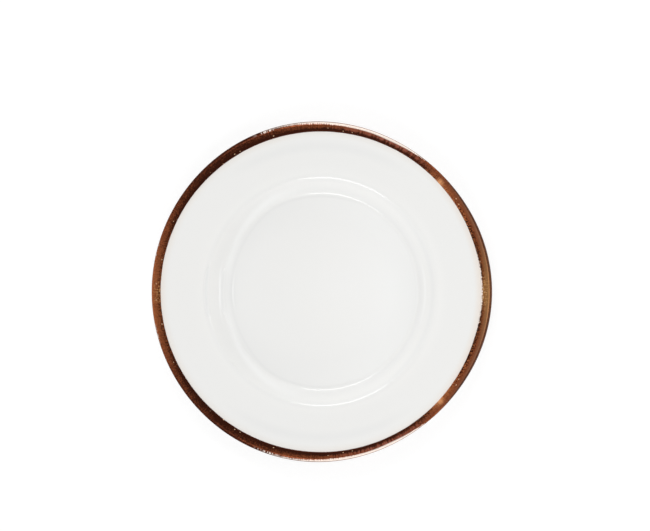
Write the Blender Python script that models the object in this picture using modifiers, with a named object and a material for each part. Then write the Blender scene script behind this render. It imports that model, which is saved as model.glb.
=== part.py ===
"""China dinner plate: a turned porcelain body, its glaze and a copper lustre band over the lip.

Metres, +Z up. The origin is on the table, in the middle of the foot ring. Every piece is one outline in the
XZ plane turned about Z. The outlines all follow the section of the glazed plate, set in or out by the coats.
"""

import math
from collections import namedtuple

import bpy

OBJECT_NAME = "china_dinner_plate"

# Overall size, to the outside of the lustre band
PLATE_RADIUS = 0.135
PLATE_HEIGHT = 0.0232

# Thickness of the glazed plate from face to back
SHEET_THICKNESS = 0.0046

# Well, measured on the glazed face where the straight lines of its section meet
WELL_RADIUS = 0.0783
WELL_DEPTH = 0.0083
WALL_RUN = 0.0130
FLOOR_FILLET = 0.006
SHOULDER_FILLET = 0.007

# Foot ring, with the recess inside it
FOOT_RADIUS = 0.077
FOOT_WIDTH = 0.0056
RECESS_DEPTH = 0.0028
FOOT_FILLET = 0.001
FOOT_EDGE = 0.0007

# Glaze, which stops short of the table on both sides of the foot ring
GLAZE_THICKNESS = 0.0004
GLAZE_LINE = 0.0015

# Lustre band: its width seen from above, and its return under the lip
BAND_FACE_WIDTH = 0.0077
BAND_BACK_WIDTH = 0.0050
BAND_THICKNESS = 0.0003

# Gap between two coats that touch on the real plate
SEAT_GAP = 0.0003

# Facets round the plate and along the rounded stretches of its section
TURN_STEPS = 64
FLOOR_FACETS = 4
SHOULDER_FACETS = 3
LIP_FACETS = 3
FOOT_FACETS = 2
MERGE_DISTANCE = 0.00001

# A meeting of two straight runs of an outline, rounded by an arc of so many facets
Corner = namedtuple("Corner", "r z fillet facets")


def corner(r, z, fillet=0.0, facets=1):
    """A corner of an outline: sharp unless it has a fillet."""
    return Corner(r, z, fillet, facets)


def direction(start, end):
    """Unit vector from one corner to the next."""
    length = math.hypot(end.r - start.r, end.z - start.z)
    return (end.r - start.r) / length, (end.z - start.z) / length


def inset(outline, depths):
    """The outline with each straight run moved into the plate by its own depth, and its arcs kept concentric.

    An outline runs from the axis out over the face, down the lip and back in, so the plate is on its right.
    """
    runs = [direction(start, end) for start, end in zip(outline, outline[1:])]
    moved = []
    for index, old in enumerate(outline):
        before = max(index - 1, 0)
        after = min(index, len(runs) - 1)
        (r1, z1), (r2, z2) = runs[before], runs[after]
        turn = r1 * z2 - z1 * r2
        along = r1 * r2 + z1 * z2
        depth = depths[after]
        # The move along the first run that also brings the corner onto the second run
        slide = (depth - depths[before] * along) / turn if before != after else 0.0
        r = old.r + depths[before] * z1 + slide * r1
        z = old.z - depths[before] * r1 + slide * z1
        shared = min(depths[before], depth)
        fillet = max(old.fillet + shared * math.copysign(1.0, turn), 0.0) if old.fillet else 0.0
        moved.append(old._replace(r=r, z=z, fillet=fillet))
    return moved


def even_inset(outline, depth):
    """The outline moved into the plate by the same depth all along. A depth below zero moves it out."""
    return inset(outline, [depth] * (len(outline) - 1))


def rounded(outline):
    """Points of the outline, with an arc in place of each corner that has a fillet."""
    points = [(outline[0].r, outline[0].z)]
    for start, middle, end in zip(outline, outline[1:], outline[2:]):
        r1, z1 = direction(start, middle)
        r2, z2 = direction(middle, end)
        turn = math.atan2(r1 * z2 - z1 * r2, r1 * r2 + z1 * z2)
        # A run between two corners is shared by their arcs, and an end run is free for its one arc
        before = math.dist(start[:2], middle[:2]) / (1 if start is outline[0] else 2)
        after = math.dist(middle[:2], end[:2]) / (1 if end is outline[-1] else 2)
        tangent = min(middle.fillet * math.tan(abs(turn) / 2), before, after)
        radius = tangent / math.tan(abs(turn) / 2)
        side = math.copysign(radius, turn)
        centre = (middle.r - tangent * r1 - side * z1, middle.z - tangent * z1 + side * r1)
        heading = math.atan2(z1, r1)
        for step in range(middle.facets + 1):
            angle = heading + turn * step / middle.facets
            points.append((centre[0] + side * math.sin(angle), centre[1] - side * math.cos(angle)))
    points.append((outline[-1].r, outline[-1].z))
    return [point for point, last in zip(points, [None] + points) if not same_point(point, last)]


def same_point(point, last):
    """Whether two neighbouring points of an outline fall on one spot."""
    return last is not None and math.dist(point, last) < MERGE_DISTANCE


def height_on(outline, r):
    """Height of the straight runs of an outline at a radius."""
    for start, end in zip(outline, outline[1:]):
        low, high = sorted((start.r, end.r))
        if low <= r <= high:
            return start.z + (end.z - start.z) * (r - start.r) / (end.r - start.r)
    raise ValueError("the radius lies off the outline")


def face_outline():
    """The glazed face from the axis over the well and the wall to the lip, with the two corners of the lip."""
    lip_radius = SHEET_THICKNESS / 2
    coats = SEAT_GAP + BAND_THICKNESS
    lip_r = PLATE_RADIUS - coats - lip_radius
    lip_z = PLATE_HEIGHT - coats - lip_radius
    floor = RECESS_DEPTH + SHEET_THICKNESS
    shoulder_r = WELL_RADIUS + WALL_RUN
    shoulder_z = floor + WELL_DEPTH
    run = lip_r - shoulder_r
    rise = lip_z - shoulder_z
    # The rim leaves the shoulder on the line that just touches the round of the lip from above
    slope = math.atan2(rise, run) + math.asin(lip_radius / math.hypot(run, rise))
    out_r, out_z = lip_radius * math.cos(slope), lip_radius * math.sin(slope)
    return [
        corner(0.0, floor),
        corner(WELL_RADIUS, floor, FLOOR_FILLET, FLOOR_FACETS),
        corner(shoulder_r, shoulder_z, SHOULDER_FILLET, SHOULDER_FACETS),
        corner(lip_r + out_r - out_z, lip_z + out_z + out_r, lip_radius, LIP_FACETS),
        corner(lip_r + out_r + out_z, lip_z + out_z - out_r, lip_radius, LIP_FACETS),
    ]


def back_outline(face):
    """The back of the sheet from the lip in to the axis, as if it had no foot ring."""
    return even_inset(face[:4], SHEET_THICKNESS)[::-1]


def foot_outline(back):
    """The four corners of the foot ring, from the outside in."""
    outer = FOOT_RADIUS + FOOT_WIDTH / 2
    inner = FOOT_RADIUS - FOOT_WIDTH / 2
    return [
        corner(outer, height_on(back, outer), FOOT_FILLET, FOOT_FACETS),
        corner(outer, 0.0, FOOT_EDGE, FOOT_FACETS),
        corner(inner, 0.0, FOOT_EDGE, FOOT_FACETS),
        corner(inner, height_on(back, inner), FOOT_FILLET, FOOT_FACETS),
    ]


def coat(outline):
    """Points round a coat of glaze: its outside, then its inside on the way back."""
    return rounded(outline) + rounded(even_inset(outline, GLAZE_THICKNESS))[::-1]


def body_points(outside, foot, inside):
    """The fired clay: the whole section, set in under the glaze, but bare where it stands on the table."""
    outline = outside + foot + inside
    depths = [GLAZE_THICKNESS + SEAT_GAP] * (len(outline) - 1)
    depths[outline.index(foot[1])] = 0.0
    return rounded(inset(outline, depths))


def face_glaze_points(outside, foot):
    """The glaze from the middle of the face round the lip and down the outside of the foot ring."""
    return coat(outside + [foot[0], foot[1]._replace(z=GLAZE_LINE, fillet=0.0)])


def base_glaze_points(foot, inside):
    """The glaze inside the foot ring. It is turned from the axis outwards, so its two sides change places."""
    outline = [foot[2]._replace(z=GLAZE_LINE, fillet=0.0), foot[3]] + inside
    return rounded(even_inset(outline, GLAZE_THICKNESS))[::-1] + rounded(outline)


def band_points(face, back):
    """The lustre band, from its edge on the face round the lip to its edge on the back."""
    face_edge = PLATE_RADIUS - BAND_FACE_WIDTH
    back_edge = PLATE_RADIUS - BAND_BACK_WIDTH
    seat = [
        corner(face_edge, height_on(face[:4], face_edge)),
        face[3],
        face[4],
        corner(back_edge, height_on(back, back_edge)),
    ]
    outside = rounded(even_inset(seat, -SEAT_GAP - BAND_THICKNESS))
    return outside + rounded(even_inset(seat, -SEAT_GAP))[::-1]


def finish(name, colour, roughness, metallic=0.0):
    """A material with one plain colour."""
    material = bpy.data.materials.new(name)
    material.use_nodes = True
    shader = material.node_tree.nodes["Principled BSDF"]
    shader.inputs["Base Color"].default_value = (*colour, 1.0)
    shader.inputs["Roughness"].default_value = roughness
    shader.inputs["Metallic"].default_value = metallic
    return material


def turned(name, points, material, parent):
    """A named piece turned about Z from an outline. The outline is a loop unless both its ends are on the axis."""
    edges = [(index, index + 1) for index in range(len(points) - 1)]
    if points[0][0] > MERGE_DISTANCE:
        edges.append((len(points) - 1, 0))
    mesh = bpy.data.meshes.new(name)
    mesh.from_pydata([(r, 0.0, z) for r, z in points], edges, [])
    mesh.materials.append(material)
    piece = bpy.data.objects.new(name, mesh)
    piece.parent = parent
    parent.users_collection[0].objects.link(piece)
    screw = piece.modifiers.new("turn", "SCREW")
    screw.axis = "Z"
    screw.steps = TURN_STEPS
    screw.render_steps = TURN_STEPS
    screw.use_merge_vertices = True
    screw.merge_threshold = MERGE_DISTANCE
    screw.use_smooth_shade = True
    return piece


def main():
    """Clears the scene and builds the plate."""
    for old in list(bpy.data.objects):
        bpy.data.objects.remove(old)
    collection = bpy.data.collections.new(OBJECT_NAME)
    bpy.context.scene.collection.children.link(collection)
    plate = bpy.data.objects.new(OBJECT_NAME, None)
    collection.objects.link(plate)

    bisque = finish("bisque", (0.78, 0.75, 0.70), 0.75)
    glaze = finish("white_glaze", (0.86, 0.86, 0.84), 0.08)
    lustre = finish("copper_lustre", (0.19, 0.075, 0.03), 0.3, 1.0)

    face = face_outline()
    back = back_outline(face)
    foot = foot_outline(back)
    outside = face + [bend for bend in back[1:] if bend.r > foot[0].r]
    inside = [bend for bend in back if bend.r < foot[3].r]

    turned("porcelain_body", body_points(outside, foot, inside), bisque, plate)
    turned("glaze_coat", face_glaze_points(outside, foot), glaze, plate)
    turned("base_glaze", base_glaze_points(foot, inside), glaze, plate)
    turned("rim_band", band_points(face, back), lustre, plate)


main()
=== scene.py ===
"""Looks of a china dinner plate: white glaze, a bare foot ring and a copper lustre band over the lip.

Metres, +Z up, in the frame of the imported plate. The origin is on the table, in the middle of the foot ring.
"""

from __future__ import annotations

import logging
import math
from dataclasses import dataclass, field
from enum import Enum
from typing import Any, NamedTuple

import bpy
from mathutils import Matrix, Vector


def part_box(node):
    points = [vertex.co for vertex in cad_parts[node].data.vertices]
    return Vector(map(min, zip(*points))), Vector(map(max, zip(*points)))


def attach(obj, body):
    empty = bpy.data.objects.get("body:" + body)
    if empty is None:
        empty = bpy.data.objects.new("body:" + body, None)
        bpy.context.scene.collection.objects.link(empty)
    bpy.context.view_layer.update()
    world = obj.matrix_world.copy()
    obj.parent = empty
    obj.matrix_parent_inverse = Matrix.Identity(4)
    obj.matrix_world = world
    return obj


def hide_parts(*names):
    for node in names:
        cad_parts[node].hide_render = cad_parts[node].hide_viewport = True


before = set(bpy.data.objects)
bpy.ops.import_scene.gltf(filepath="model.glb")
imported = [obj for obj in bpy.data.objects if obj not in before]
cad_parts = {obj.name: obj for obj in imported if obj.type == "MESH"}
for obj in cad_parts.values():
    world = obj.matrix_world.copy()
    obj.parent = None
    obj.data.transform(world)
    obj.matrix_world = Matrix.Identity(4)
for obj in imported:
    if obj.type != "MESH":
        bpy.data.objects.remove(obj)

LOG = logging.getLogger("dinner_plate")
BODY = "root"
STEP_SLACK = 1e-6
Colour = tuple[float, float, float]
Point = tuple[float, float]


class Slot(Enum):
    """The plate's finishes."""

    BISQUE = "bisque"
    WHITE_GLAZE = "white_glaze"
    COPPER_LUSTRE = "copper_lustre"


# Shader and geometry trees


class Signal:
    """One output socket of a node tree, which can be used in arithmetic."""

    def __init__(self, sheet: NodeSheet, socket: bpy.types.NodeSocket) -> None:
        """Keeps the socket and the sheet that new nodes are added to."""
        self.sheet = sheet
        self.socket = socket

    def beside(self, name: str) -> Signal:
        """Another output of the same node."""
        return Signal(self.sheet, self.socket.node.outputs[name])

    def __add__(self, other: Value) -> Signal:
        """Sum of two values."""
        return self.sheet.math("ADD", self, other)

    def __sub__(self, other: Value) -> Signal:
        """Difference of two values."""
        return self.sheet.math("SUBTRACT", self, other)

    def __rsub__(self, other: Value) -> Signal:
        """Difference of two values, with the plain number first."""
        return self.sheet.math("SUBTRACT", other, self)

    def __mul__(self, other: Value) -> Signal:
        """Product of two values."""
        return self.sheet.math("MULTIPLY", self, other)

    def __truediv__(self, other: Value) -> Signal:
        """Quotient of two values."""
        return self.sheet.math("DIVIDE", self, other)

    def __pow__(self, other: Value) -> Signal:
        """Power of a value."""
        return self.sheet.math("POWER", self, other)

    def __abs__(self) -> Signal:
        """Size of a value without its sign."""
        return self.sheet.math("ABSOLUTE", self)

    __radd__ = __add__
    __rmul__ = __mul__


Value = Signal | float


class NodeSheet:
    """A node tree that is written as Python expressions."""

    def __init__(self, tree: bpy.types.NodeTree) -> None:
        """Starts an empty sheet on the tree."""
        self.tree = tree
        self.tree.nodes.clear()

    def node(self, kind: str, settings: dict[str, Any], inputs: dict[Any, Any], output: Any = 0) -> Signal:
        """Adds one node.

        Args:
            kind: the node's type name.
            settings: attributes, set first.
            inputs: values or signals by socket name or number.
            output: name or number of the output that is wanted.

        Returns:
            The output as a signal.
        """
        made = self.tree.nodes.new(kind)
        for name, setting in settings.items():
            setattr(made, name, setting)
        for key, value in inputs.items():
            if isinstance(value, Signal):
                self.tree.links.new(value.socket, made.inputs[key])
            else:
                made.inputs[key].default_value = value
        return Signal(self, made.outputs[output] if len(made.outputs) else None)

    def math(self, operation: str, first: Value, second: Value = 0.0) -> Signal:
        """One Math node on one or two values."""
        return self.node("ShaderNodeMath", {"operation": operation}, {0: first, 1: second})

    def vector_math(self, operation: str, first: Any, second: Any) -> Signal:
        """One Vector Math node on two vectors."""
        return self.node("ShaderNodeVectorMath", {"operation": operation}, {0: first, 1: second})

    def scaled(self, vector: Signal, factor: Value) -> Signal:
        """A vector made longer or shorter by a factor."""
        return self.node("ShaderNodeVectorMath", {"operation": "SCALE"}, {0: vector, "Scale": factor})

    def mix(self, factor: Value, first: Any, second: Any) -> Signal:
        """A colour between two colours: the first at factor 0, the second at 1."""
        shades = {6: self.shade(first), 7: self.shade(second)}
        return self.node("ShaderNodeMix", {"data_type": "RGBA"}, {0: factor, **shades}, 2)

    @staticmethod
    def shade(colour: Any) -> Any:
        """A colour with its fourth channel, or the signal as it is."""
        return colour if isinstance(colour, Signal) else (*colour, 1.0)

    def noise(self, place: Signal, grain: float, detail: float = 2.0, lean: float = 0.5) -> Signal:
        """Noise from 0 to 1, with lumps of one grain and finer octaves that each have a share of lean."""
        values = {"Vector": place, "Scale": 1.0 / grain, "Detail": detail, "Roughness": lean}
        return self.node("ShaderNodeTexNoise", {"noise_dimensions": "3D"}, values)

    def dots(self, place: Signal, grain: float) -> tuple[Signal, Signal]:
        """Scatters dots, one in each cell of a grid.

        Args:
            place: coordinates.
            grain: size of one cell.

        Returns:
            The distance from the nearest dot, in cells, and that dot's own chance from 0 to 1.
        """
        cells = {"Vector": place, "Scale": 1.0 / grain}
        far = self.node("ShaderNodeTexVoronoi", {"feature": "F1"}, cells, "Distance")
        return far, self.node("ShaderNodeSeparateColor", {}, {0: far.beside("Color")}, 0)

    def bump(self, height: Signal, depth: float, **under: Signal) -> Signal:
        """The bent normal of a relief from 0 to 1 of a depth in metres, over another one given as Normal."""
        values = {"Height": height, "Distance": depth, "Strength": 1.0, **under}
        return self.node("ShaderNodeBump", {}, values)

    def seen_rays(self) -> Signal:
        """Tells what is seen from light on its way to other surfaces.

        Returns:
            1 for what the eye, a mirror or a glass sees, and 0 for the rest.
        """
        path = self.node("ShaderNodeLightPath", {}, {}, "Is Camera Ray")
        seen = path + path.beside("Is Glossy Ray") + path.beside("Is Transmission Ray")
        return self.math("MINIMUM", seen, 1.0)

    def end_in(self, kind: str, sockets: dict[str, Any]) -> None:
        """Ends a material in one shader with the given sockets."""
        self.node("ShaderNodeOutputMaterial", {}, {"Surface": self.node(kind, {}, sockets)})


class Ease(NamedTuple):
    """A soft step: 0 before its start and its amount after its end. It falls where the end lies lower."""

    start: float
    end: float
    amount: float = 1.0

    def of(self, value: Signal) -> Signal:
        """The step, taken on a value."""
        spans = {"Value": value, "From Min": self.start, "From Max": self.end, "To Max": self.amount}
        return value.sheet.node("ShaderNodeMapRange", {"interpolation_type": "SMOOTHSTEP"}, spans)


class Swell(NamedTuple):
    """A soft hump: its amount in the middle and 0 from its reach on."""

    middle: float
    reach: float
    amount: float = 1.0

    def of(self, value: Signal) -> Signal:
        """The hump, taken on a value."""
        return Ease(self.reach, 0.0, self.amount).of(abs(value - self.middle))


@dataclass
class Surface:
    """Places on the plate that its finishes are drawn by. Aside is how far a point lies from the X axis."""

    sheet: NodeSheet
    place: Signal = field(init=False)
    east: Signal = field(init=False)
    north: Signal = field(init=False)
    height: Signal = field(init=False)
    aside: Signal = field(init=False)
    radius: Signal = field(init=False)

    def __post_init__(self) -> None:
        """Adds the nodes that measure a point of the plate from its axis."""
        self.place = self.sheet.node("ShaderNodeTexCoord", {}, {}, "Object")
        self.east = self.sheet.node("ShaderNodeSeparateXYZ", {}, {"Vector": self.place}, "X")
        self.north = self.east.beside("Y")
        self.height = self.east.beside("Z")
        self.aside = abs(self.north)
        self.radius = (self.east * self.east + self.north * self.north) ** 0.5


@dataclass
class BandPlace:
    """Places and brush marks on the lustre band that its colours are drawn by.

    A turn is the angle from +X in degrees, without its sign. Across is 0 at the face edge and 1 at the lip.
    """

    spot: Surface
    inner_edge: float
    outer_edge: float
    streak_grain: float = 0.0006
    bead_grain: float = 0.0016
    mottle_grain: float = 0.0012
    line_step: Ease = Ease(0.30, 0.72)
    mark_step: Ease = Ease(0.36, 0.64)
    turn: Signal = field(init=False)
    across: Signal = field(init=False)
    streak: Signal = field(init=False)
    lines: Signal = field(init=False)
    beads: Signal = field(init=False)
    mottle: Signal = field(init=False)

    def __post_init__(self) -> None:
        """Adds the nodes."""
        spot, sheet = self.spot, self.spot.sheet
        self.turn = sheet.math("DEGREES", abs(sheet.math("ARCTAN2", spot.north, spot.east)))
        self.across = (spot.radius - self.inner_edge) / (self.outer_edge - self.inner_edge)
        flat = sheet.vector_math("MULTIPLY", spot.place, (1.0, 1.0, 0.0))
        bearing = sheet.vector_math("NORMALIZE", flat, (0.0, 0.0, 0.0))
        self.streak = sheet.noise(bearing, self.streak_grain / self.outer_edge, lean=0.6)
        self.lines = self.line_step.of(self.streak)
        self.beads = self.mark_step.of(sheet.noise(bearing, self.bead_grain / self.outer_edge, detail=1.0))
        self.mottle = self.mark_step.of(sheet.noise(spot.place, self.mottle_grain, lean=0.6))


class Patch(NamedTuple):
    """A part of the band: a shape along it, by turn, and one across it."""

    along: Ease | Swell
    across: Ease | Swell

    def of(self, band: BandPlace) -> Signal:
        """A mask of the part."""
        return self.along.of(band.turn) * self.across.of(band.across)


class Brush(NamedTuple):
    """How a coat of the band shows: an even share, and shares by its streaks, its mottling and its beads."""

    even: float
    lines: float = 0.0
    mottle: float = 0.0
    beads: float = 0.0

    def of(self, band: BandPlace) -> Signal:
        """The sum of the shares."""
        return self.even + band.lines * self.lines + band.mottle * self.mottle + band.beads * self.beads


# Finishes


class Finish:
    """A finish that is drawn by nodes on Object coordinates."""

    name: str

    def material(self) -> bpy.types.Material:
        """Makes the finish.

        Returns:
            The material with its nodes.
        """
        made = bpy.data.materials.new(self.name)
        made.use_nodes = True
        self.draw(Surface(NodeSheet(made.node_tree)))
        return made

    def draw(self, spot: Surface) -> None:
        """Adds the nodes of one finish."""
        raise NotImplementedError


@dataclass(frozen=True)
class WhiteGlaze(Finish):
    """Glossy white china glaze, slightly uneven and hazed beside the band, with painted light and shade in
    the well.

    Painted shade lies in the bends of the well, partly glaze pooled there, and on the rim; painted light lies
    on the floor and on one side of the wall, with fine painted highlight lines on the wall. Swells, floor,
    rim and haze go by the radius. Other steps named right or left go by X, and those named end by the
    distance from the X axis.
    """

    name: str = "white_glaze"
    white: Colour = (0.836, 0.838, 0.826)
    warm: Colour = (0.842, 0.836, 0.815)
    # a lighter tint for painted light on the floor and the wall, and for fine painted highlight lines
    clear: Colour = (0.874, 0.876, 0.864)
    # a brighter tint for a painted highlight line on the wall at -X
    painted_highlight: Colour = (0.908, 0.910, 0.900)
    # a darker tint for painted shade in the bends, on the rim and towards -X, partly glaze pooled in the
    # bends
    pooled_and_shaded: Colour = (0.775, 0.778, 0.770)
    hazed: Colour = (0.80, 0.745, 0.690)
    speck: Colour = (0.42, 0.36, 0.29)
    refraction: float = 1.52
    roughness: float = 0.09
    roughness_spread: float = 0.05
    cloud_grain: float = 0.045
    wave_grain: float = 0.022
    wave_depth: float = 0.00005
    peel_grain: float = 0.0016
    peel_depth: float = 0.000003
    speck_grain: float = 0.011
    speck_size: Ease = Ease(0.00016, 0.000064)
    speck_chance: Ease = Ease(0.80, 0.82, 0.6)
    haze: Ease = Ease(0.1213, 0.1278)
    haze_even: float = 0.25
    haze_cloud: float = 0.5
    haze_right: Ease = Ease(0.080, 0.120, 0.65)
    haze_left: Ease = Ease(-0.080, -0.120, 0.25)
    # painted light and shade on the floor of the well: lighter towards the wall and towards +X, darker
    # towards -X
    floor: Ease = Ease(0.0788, 0.0748)
    floor_outer: Ease = Ease(0.03072, 0.0768, 0.45)
    floor_right: Ease = Ease(-0.02, 0.0768, 0.8)
    floor_left: Ease = Ease(0.02, -0.0768, 0.35)
    # right, left and their shifts move the painted shade ring and the painted light band off centre
    right: Ease = Ease(0.01, 0.055)
    right_shift: float = 0.0032
    left: Ease = Ease(-0.035, -0.072)
    left_shift: float = 0.0045
    far_left: Ease = Ease(-0.060, -0.078, 0.0030)
    wide_end: Ease = Ease(0.034, 0.006)
    narrow_end: Ease = Ease(0.020, 0.002)
    # painted shade in the corner of the floor, partly glaze pooled there
    pooling_and_shade: Swell = Swell(0.0768, 0.0022, 0.40)
    # painted shade on the wall, the shoulder, the bends and the rim, partly glaze pooled in the bends, with a
    # painted shade ring near the top and bottom of the rim
    wall: Swell = Swell(0.08465, 0.0075, 0.20)
    shoulder: Swell = Swell(0.0925, 0.0030, 0.30)
    low_bend: Swell = Swell(0.0812, 0.0045, 0.42)
    low_bend_right: Ease = Ease(0.06, 0.081, 0.6)
    high_bend: Swell = Swell(0.0898, 0.0027, 0.42)
    bends_right: Ease = Ease(-0.03, 0.0)
    shade_ring: Swell = Swell(0.0886, 0.0030, 0.30)
    shade_ring_right: Ease = Ease(0.045, 0.080)
    rim: Ease = Ease(0.0925, 0.1025)
    rim_even: float = 0.20
    rim_right: Ease = Ease(0.06, 0.13, 0.20)
    ring: Swell = Swell(0.1160, 0.0065, 0.45)
    ring_end: Ease = Ease(0.085, 0.112)
    # painted shade by the corner of the floor at -X
    left_dip: Swell = Swell(0.0705, 0.0036, 0.75)
    # fine painted highlight lines on the wall, two at -X and two at +X
    left_inner: Swell = Swell(0.0707, 0.0013)
    left_line: Swell = Swell(0.0811, 0.0013)
    left_bow: float = 0.055
    right_line: Swell = Swell(0.0771, 0.0016)
    right_outer_glint: Swell = Swell(0.0835, 0.0016, 0.8)
    # a painted lighter band on the -X side of the wall
    painted_light: Swell = Swell(0.0838, 0.0050)
    painted_light_left: Ease = Ease(-0.01, -0.05)
    # the two bends: less glossy at -X, where painted shade dims their spread highlight
    dull_rings: tuple[Swell, Swell] = (Swell(0.0795, 0.0030), Swell(0.0917, 0.0030))
    shade_facing: Ease = Ease(0.235, 0.185, 0.66)
    dull_roughness: float = 0.5

    def draw(self, spot: Surface) -> None:
        """Adds the glaze's nodes.

        Args:
            spot: places on the plate.
        """
        sheet = spot.sheet
        cloud = sheet.noise(spot.place, self.cloud_grain, detail=3.0)
        colour = self.floor_tint(spot, sheet.mix(cloud, self.white, self.warm))
        colour = self.wall_tint(spot, colour)
        sides = self.haze_right.of(spot.east) + self.haze_left.of(spot.east)
        haze = self.haze.of(spot.radius) * (self.haze_even + cloud * self.haze_cloud + sides)
        colour = sheet.mix(haze, colour, self.hazed)
        colour = sheet.mix(self.specks(spot), colour, self.speck)
        waved = sheet.bump(sheet.noise(spot.place, self.wave_grain, detail=1.0), self.wave_depth)
        peel = sheet.noise(spot.place, self.peel_grain, detail=1.0)
        relief = sheet.bump(peel, self.peel_depth, Normal=waved)
        uneven = sheet.noise(spot.place, self.cloud_grain / 2) * self.roughness_spread
        dulled = self.dulled(spot) * self.left_end(spot) * self.dull_roughness
        roughness = self.roughness + uneven + dulled
        shader = {"Base Color": colour, "Roughness": roughness, "Normal": relief, "IOR": self.refraction}
        sheet.end_in("ShaderNodeBsdfPrincipled", shader)

    def floor_tint(self, spot: Surface, colour: Signal) -> Signal:
        """Paints light on the floor of the well: painted light towards +X and towards the wall, painted shade
        towards -X.

        Args:
            spot: places on the plate.
            colour: the glaze's own colour.

        Returns:
            The colour with the painted light and shade.
        """
        sheet = spot.sheet
        floor = self.floor.of(spot.radius)
        clear = self.floor_outer.of(spot.radius) + self.floor_right.of(spot.east)
        colour = sheet.mix(floor * sheet.math("MINIMUM", clear, 1.0), colour, self.clear)
        return sheet.mix(floor * self.floor_left.of(spot.east), colour, self.pooled_and_shaded)

    def left_end(self, spot: Surface) -> Signal:
        """A mask of the stretch of the wall at -X."""
        return self.wide_end.of(spot.aside) ** 2.0 * self.left.of(spot.east)

    def dulled(self, spot: Surface) -> Signal:
        """The two bends of the wall, which are less glossy at -X and carry painted shade there."""
        return self.dull_rings[0].of(spot.radius) + self.dull_rings[1].of(spot.radius)

    def wall_tint(self, spot: Surface, colour: Signal) -> Signal:
        """Paints shade and light on the wall of the well and on the rim: painted shade, partly glaze pooled
        in the bends.

        Args:
            spot: places on the plate.
            colour: the colour so far.

        Returns:
            The colour with painted shade and light, and with two fine painted highlight lines at -X and two
            at +X.
        """
        sheet, radius = spot.sheet, spot.radius
        right, left = self.right.of(spot.east), self.left.of(spot.east)
        end = self.left_end(spot)
        tip = self.narrow_end.of(spot.aside) * left
        # the painted shade ring and the painted light band are drawn off centre
        drawn = radius - right * self.right_shift + left * self.left_shift
        wall = self.pooling_and_shade.of(drawn) + self.wall.of(radius) * (1.0 - end)
        # painted shade on the bends at -X
        shaded_facing = self.shade_facing.of(spot.aside / radius) * left
        dips = self.left_dip.of(radius) * tip + self.dulled(spot) * shaded_facing
        colour = sheet.mix(wall + self.rim_amount(spot) + dips, colour, self.pooled_and_shaded)
        # a painted lighter band on the -X wall
        painted_light = self.painted_light.of(drawn + self.far_left.of(spot.east)) * self.painted_light_left.of(spot.east)
        # fine painted highlight lines at +X
        right_glints = self.right_line.of(radius) + self.right_outer_glint.of(radius)
        right_glints = right_glints * self.wide_end.of(spot.aside) * right
        colour = sheet.mix(painted_light * (1.0 - end) + self.left_inner.of(radius) * tip + right_glints, colour, self.clear)
        # a fine painted highlight line at -X
        return sheet.mix(self.left_line.of(radius - spot.aside * self.left_bow) * end, colour, self.painted_highlight)

    def rim_amount(self, spot: Surface) -> Signal:
        """How much painted shade lies in the bends of the wall and on the rim, partly glaze pooled in the
        bends.

        Args:
            spot: places on the plate.

        Returns:
            The share of the darker tint.
        """
        radius, east = spot.radius, spot.east
        low = self.low_bend.of(radius) * (1.0 - self.low_bend_right.of(east))
        bends = (low + self.high_bend.of(radius)) * self.bends_right.of(east)
        shade_ring = self.shoulder.of(radius) + self.shade_ring.of(radius) * self.shade_ring_right.of(east)
        ring = self.ring.of(radius) * self.ring_end.of(spot.aside)
        return bends + shade_ring + ring + self.rim.of(radius) * (self.rim_even + self.rim_right.of(east))

    def specks(self, spot: Surface) -> Signal:
        """A mask of a few tiny iron specks under the glaze."""
        far, chance = spot.sheet.dots(spot.place, self.speck_grain)
        return self.speck_size.of(far * self.speck_grain) * self.speck_chance.of(chance)


@dataclass(frozen=True)
class BareClay(Finish):
    """Unglazed fired clay of the foot ring, a little toasted by the glaze line and grey where it rubs."""

    name: str = "bare_clay"
    pale: Colour = (0.66, 0.62, 0.55)
    toasted: Colour = (0.56, 0.44, 0.31)
    rubbed: Colour = (0.42, 0.40, 0.37)
    roughness: float = 0.72
    roughness_spread: float = 0.2
    grain: float = 0.0011
    grain_depth: float = 0.00004
    patch: float = 0.014
    toast: Ease = Ease(0.0007, 0.0017)
    toast_even: float = 0.35
    toast_patch: float = 0.6
    rub_height: Ease = Ease(0.0003, 0.0, 0.6)
    rub_patch: Ease = Ease(0.48, 0.68)
    dark_grit: Ease = Ease(0.62, 0.74, 0.25)

    def draw(self, spot: Surface) -> None:
        """Adds the clay's nodes.

        Args:
            spot: places on the plate.
        """
        sheet = spot.sheet
        grit = sheet.noise(spot.place, self.grain, detail=3.0, lean=0.6)
        patch = sheet.noise(spot.place, self.patch, detail=3.0, lean=0.6)
        toast = self.toast.of(spot.height) * (self.toast_even + patch * self.toast_patch)
        colour = sheet.mix(toast, self.pale, self.toasted)
        colour = sheet.mix(self.rub_height.of(spot.height) * self.rub_patch.of(patch), colour, self.rubbed)
        colour = sheet.mix(self.dark_grit.of(grit), colour, self.rubbed)
        relief = sheet.bump(grit, self.grain_depth)
        roughness = self.roughness + (grit - 0.5) * self.roughness_spread
        shader = {"Base Color": colour, "Roughness": roughness, "Normal": relief}
        sheet.end_in("ShaderNodeBsdfPrincipled", shader)


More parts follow.
